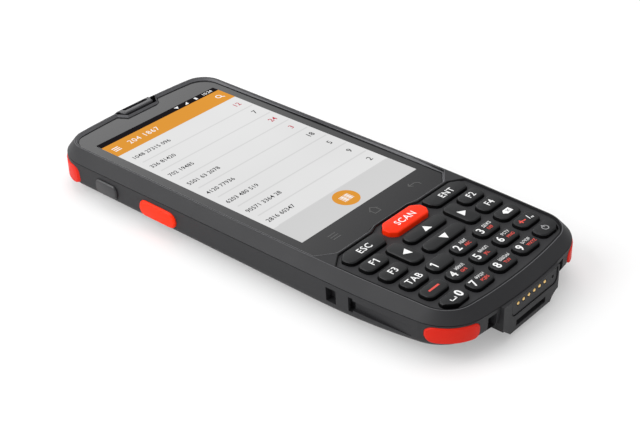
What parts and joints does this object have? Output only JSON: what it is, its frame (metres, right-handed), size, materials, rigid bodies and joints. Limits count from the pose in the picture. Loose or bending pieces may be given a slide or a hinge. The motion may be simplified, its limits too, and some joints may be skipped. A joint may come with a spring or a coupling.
{
  "type": "portable barcode data terminal",
  "caption": "Handheld data terminal with a touch display, keypad below it, side triggers, corner bumpers, rear battery cover and a dock contact plate in its lower end.",
  "frame": {"origin": "on the floor under the middle of the device lying on its back", "axes": "+X to the right side, +Y from the dock end to the earpiece end, +Z out of the display"},
  "size_m": [0.068, 0.16, 0.0165],
  "materials": {
    "charcoal_plastic": "fine-textured moulded polycarbonate",
    "keypad_plastic": "satin",
    "key_rubber": "satin silicone",
    "scan_red": "satin silicone",
    "bumper_red": "soft-touch",
    "cover_glass": "polished, black border",
    "display": "lit display",
    "lens": "polished dark",
    "board_green": "solder mask",
    "tinned_steel": "tinned",
    "gold": "plated, polished",
    "steel": "blackened",
    "seal_rubber": "matt",
    "black_plastic": "matt"
  },
  "bodies": {
    "root": {"back_housing": "charcoal_plastic", "bumper_bottom_left": "bumper_red", "bumper_bottom_right": "bumper_red", "bumper_top_left": "bumper_red", "bumper_top_right": "bumper_red", "camera_lens": "lens", "camera_module": "black_plastic", "contact_pins": "gold", "display_panel": "display", "dock_plate": "black_plastic", "earpiece_bridge": "black_plastic", "earpiece_speaker": "black_plastic", "flash_lens": "lens", "front_housing": "charcoal_plastic", "housing_screws": "steel", "housing_seal": "seal_rubber", "keypad_board": "board_green", "keypad_mat": "seal_rubber", "keypad_plate": "keypad_plastic", "loudspeaker": "black_plastic", "main_board": "board_green", "scan_engine": "black_plastic", "scan_window": "lens", "shield_cans": "tinned_steel", "side_switches": "black_plastic", "touch_glass": "cover_glass", "vibration_motor": "tinned_steel"},
    "key_arrow_down_cap": {"key_arrow_down": "key_rubber"},
    "key_arrow_left_cap": {"key_arrow_left": "key_rubber"},
    "key_arrow_right_cap": {"key_arrow_right": "key_rubber"},
    "key_arrow_up_cap": {"key_arrow_up": "key_rubber"},
    "key_dash_cap": {"key_dash": "key_rubber"},
    "key_eight_cap": {"key_eight": "key_rubber"},
    "key_enter_cap": {"key_enter": "key_rubber"},
    "key_erase_cap": {"key_erase": "key_rubber"},
    "key_escape_cap": {"key_escape": "key_rubber"},
    "key_f1_cap": {"key_f1": "key_rubber"},
    "key_f2_cap": {"key_f2": "key_rubber"},
    "key_f3_cap": {"key_f3": "key_rubber"},
    "key_f4_cap": {"key_f4": "key_rubber"},
    "key_five_cap": {"key_five": "key_rubber"},
    "key_four_cap": {"key_four": "key_rubber"},
    "key_nine_cap": {"key_nine": "key_rubber"},
    "key_one_cap": {"key_one": "key_rubber"},
    "key_power_cap": {"key_power": "key_rubber"},
    "key_scan_cap": {"key_scan": "scan_red"},
    "key_seven_cap": {"key_seven": "key_rubber"},
    "key_sign_cap": {"key_sign": "key_rubber"},
    "key_six_cap": {"key_six": "key_rubber"},
    "key_tab_cap": {"key_tab": "key_rubber"},
    "key_three_cap": {"key_three": "key_rubber"},
    "key_two_cap": {"key_two": "key_rubber"},
    "key_zero_cap": {"key_zero": "key_rubber"},
    "left_trigger_cap": {"left_trigger": "scan_red"},
    "left_button_cap": {"left_button": "black_plastic"},
    "right_trigger_cap": {"right_trigger": "scan_red"},
    "cover": {"battery_cover": "charcoal_plastic"},
    "battery": {"battery_pack": "black_plastic"}
  },
  "joints": [
    {"name": "key_arrow_down_press", "type": "slide", "parent": "root", "child": "key_arrow_down_cap", "axis": [0, 0, -1], "range_m": [0, 0.0008], "stiffness_N_per_m": 700},
    {"name": "key_arrow_left_press", "type": "slide", "parent": "root", "child": "key_arrow_left_cap", "axis": [0, 0, -1], "range_m": [0, 0.0008], "stiffness_N_per_m": 700},
    {"name": "key_arrow_right_press", "type": "slide", "parent": "root", "child": "key_arrow_right_cap", "axis": [0, 0, -1], "range_m": [0, 0.0008], "stiffness_N_per_m": 700},
    {"name": "key_arrow_up_press", "type": "slide", "parent": "root", "child": "key_arrow_up_cap", "axis": [0, 0, -1], "range_m": [0, 0.0008], "stiffness_N_per_m": 700},
    {"name": "key_dash_press", "type": "slide", "parent": "root", "child": "key_dash_cap", "axis": [0, 0, -1], "range_m": [0, 0.0008], "stiffness_N_per_m": 700},
    {"name": "key_eight_press", "type": "slide", "parent": "root", "child": "key_eight_cap", "axis": [0, 0, -1], "range_m": [0, 0.0008], "stiffness_N_per_m": 700},
    {"name": "key_enter_press", "type": "slide", "parent": "root", "child": "key_enter_cap", "axis": [0, 0, -1], "range_m": [0, 0.0008], "stiffness_N_per_m": 700},
    {"name": "key_erase_press", "type": "slide", "parent": "root", "child": "key_erase_cap", "axis": [0, 0, -1], "range_m": [0, 0.0008], "stiffness_N_per_m": 700},
    {"name": "key_escape_press", "type": "slide", "parent": "root", "child": "key_escape_cap", "axis": [0, 0, -1], "range_m": [0, 0.0008], "stiffness_N_per_m": 700},
    {"name": "key_f1_press", "type": "slide", "parent": "root", "child": "key_f1_cap", "axis": [0, 0, -1], "range_m": [0, 0.0008], "stiffness_N_per_m": 700},
    {"name": "key_f2_press", "type": "slide", "parent": "root", "child": "key_f2_cap", "axis": [0, 0, -1], "range_m": [0, 0.0008], "stiffness_N_per_m": 700},
    {"name": "key_f3_press", "type": "slide", "parent": "root", "child": "key_f3_cap", "axis": [0, 0, -1], "range_m": [0, 0.0008], "stiffness_N_per_m": 700},
    {"name": "key_f4_press", "type": "slide", "parent": "root", "child": "key_f4_cap", "axis": [0, 0, -1], "range_m": [0, 0.0008], "stiffness_N_per_m": 700},
    {"name": "key_five_press", "type": "slide", "parent": "root", "child": "key_five_cap", "axis": [0, 0, -1], "range_m": [0, 0.0008], "stiffness_N_per_m": 700},
    {"name": "key_four_press", "type": "slide", "parent": "root", "child": "key_four_cap", "axis": [0, 0, -1], "range_m": [0, 0.0008], "stiffness_N_per_m": 700},
    {"name": "key_nine_press", "type": "slide", "parent": "root", "child": "key_nine_cap", "axis": [0, 0, -1], "range_m": [0, 0.0008], "stiffness_N_per_m": 700},
    {"name": "key_one_press", "type": "slide", "parent": "root", "child": "key_one_cap", "axis": [0, 0, -1], "range_m": [0, 0.0008], "stiffness_N_per_m": 700},
    {"name": "key_power_press", "type": "slide", "parent": "root", "child": "key_power_cap", "axis": [0, 0, -1], "range_m": [0, 0.0008], "stiffness_N_per_m": 700},
    {"name": "key_scan_press", "type": "slide", "parent": "root", "child": "key_scan_cap", "axis": [0, 0, -1], "range_m": [0, 0.0008], "stiffness_N_per_m": 700},
    {"name": "key_seven_press", "type": "slide", "parent": "root", "child": "key_seven_cap", "axis": [0, 0, -1], "range_m": [0, 0.0008], "stiffness_N_per_m": 700},
    {"name": "key_sign_press", "type": "slide", "parent": "root", "child": "key_sign_cap", "axis": [0, 0, -1], "range_m": [0, 0.0008], "stiffness_N_per_m": 700},
    {"name": "key_six_press", "type": "slide", "parent": "root", "child": "key_six_cap", "axis": [0, 0, -1], "range_m": [0, 0.0008], "stiffness_N_per_m": 700},
    {"name": "key_tab_press", "type": "slide", "parent": "root", "child": "key_tab_cap", "axis": [0, 0, -1], "range_m": [0, 0.0008], "stiffness_N_per_m": 700},
    {"name": "key_three_press", "type": "slide", "parent": "root", "child": "key_three_cap", "axis": [0, 0, -1], "range_m": [0, 0.0008], "stiffness_N_per_m": 700},
    {"name": "key_two_press", "type": "slide", "parent": "root", "child": "key_two_cap", "axis": [0, 0, -1], "range_m": [0, 0.0008], "stiffness_N_per_m": 700},
    {"name": "key_zero_press", "type": "slide", "parent": "root", "child": "key_zero_cap", "axis": [0, 0, -1], "range_m": [0, 0.0008], "stiffness_N_per_m": 700},
    {"name": "left_trigger_press", "type": "slide", "parent": "root", "child": "left_trigger_cap", "axis": [1, 0, 0], "range_m": [0, 0.0008], "stiffness_N_per_m": 1500},
    {"name": "left_button_press", "type": "slide", "parent": "root", "child": "left_button_cap", "axis": [1, 0, 0], "range_m": [0, 0.0008], "stiffness_N_per_m": 1500},
    {"name": "right_trigger_press", "type": "slide", "parent": "root", "child": "right_trigger_cap", "axis": [-1, 0, 0], "range_m": [0, 0.0008], "stiffness_N_per_m": 1500},
    {"name": "cover_lift", "type": "slide", "parent": "root", "child": "cover", "axis": [0, 0, -1], "range_m": [0, 0.03]},
    {"name": "battery_lift", "type": "slide", "parent": "root", "child": "battery", "axis": [0, 0, -1], "range_m": [0, 0.015]}
  ],
  "couplings": [
    {"joint": "battery_lift", "follows": "cover_lift", "ratio": 0.5}
  ]
}
